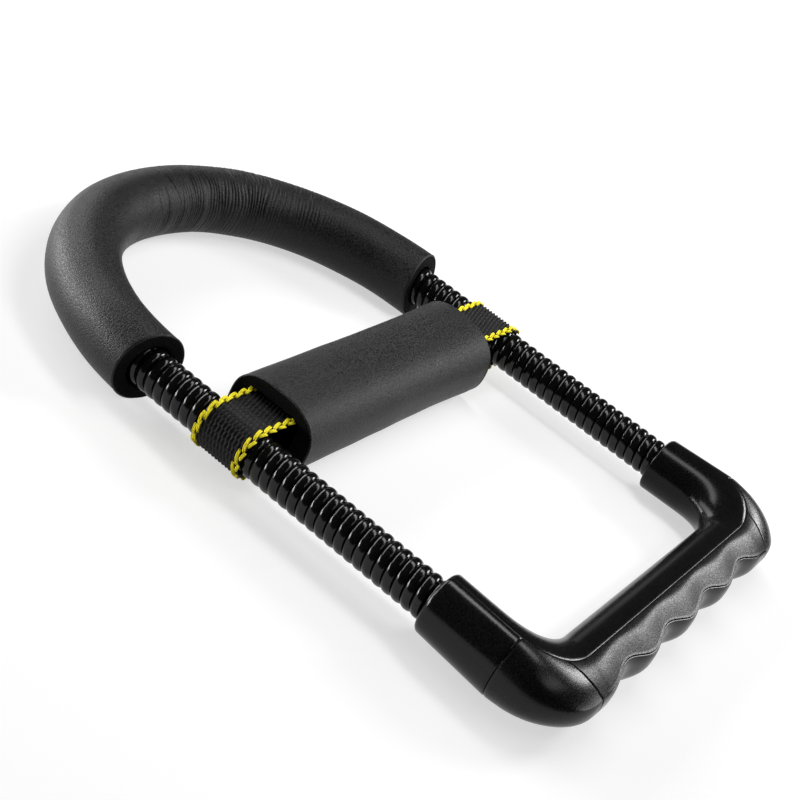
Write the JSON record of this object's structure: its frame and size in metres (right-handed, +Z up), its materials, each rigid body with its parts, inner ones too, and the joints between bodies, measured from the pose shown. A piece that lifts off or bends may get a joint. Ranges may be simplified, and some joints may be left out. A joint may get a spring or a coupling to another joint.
{
  "type": "wrist trainer",
  "caption": "Forearm and wrist trainer: a foam-padded arm brace on two coil springs, a cross strap with a foam pad, and a moulded grip that bends against the springs.",
  "frame": {"origin": "middle of the underside: halfway between the arms, halfway from the grip to the top of the brace, on the surface that the trainer lies on", "axes": "+Y from the grip to the arm brace along the arms, +Z up out of the surface that the trainer lies on, X across the two arms"},
  "size_m": [0.2009, 0.2898, 0.0298],
  "materials": {
    "brace_foam": "matte closed-cell foam, fine grain",
    "pad_foam": "matte closed-cell foam, fine grain",
    "spacer_plastic": "plain",
    "bar_steel": "drawn",
    "spring_steel": "gloss black paint",
    "handle_plastic": "satin moulded, finely grained",
    "screw_steel": "blackened",
    "webbing": "woven webbing",
    "braid": "braided edge cord"
  },
  "bodies": {
    "frame": {"arm_brace": "brace_foam", "spacer_tube": "spacer_plastic", "frame_bar": "bar_steel", "left_spring": "spring_steel", "right_spring": "spring_steel"},
    "handle": {"handle_bar": "bar_steel", "left_collar": "bar_steel", "right_collar": "bar_steel", "handle_inner_shell": "handle_plastic", "left_socket_cover": "handle_plastic", "right_socket_cover": "handle_plastic", "left_elbow_cap": "handle_plastic", "right_elbow_cap": "handle_plastic", "grip_top_shell": "handle_plastic", "finger_grip": "handle_plastic", "left_screw": "screw_steel", "middle_screw": "screw_steel", "right_screw": "screw_steel"},
    "strap": {"strap_webbing": "webbing", "strap_lap": "webbing", "strap_braid_upper": "braid", "strap_braid_lower": "braid"},
    "pad": {"pad_sleeve": "pad_foam"}
  },
  "joints": [
    {"name": "handle_flex", "type": "hinge", "parent": "frame", "child": "handle", "pos_m": [0, -0.0446, 0.0137], "axis": [1, 0, 0], "range_deg": [-60, 60], "stiffness_Nm_per_rad": 12, "deforming": ["left_spring", "right_spring"]},
    {"name": "strap_slide", "type": "slide", "parent": "frame", "child": "strap", "axis": [0, 1, 0], "range_m": [-0.008, 0.014]},
    {"name": "pad_shift", "type": "slide", "parent": "strap", "child": "pad", "axis": [1, 0, 0], "range_m": [-0.006, 0.02]}
  ]
}
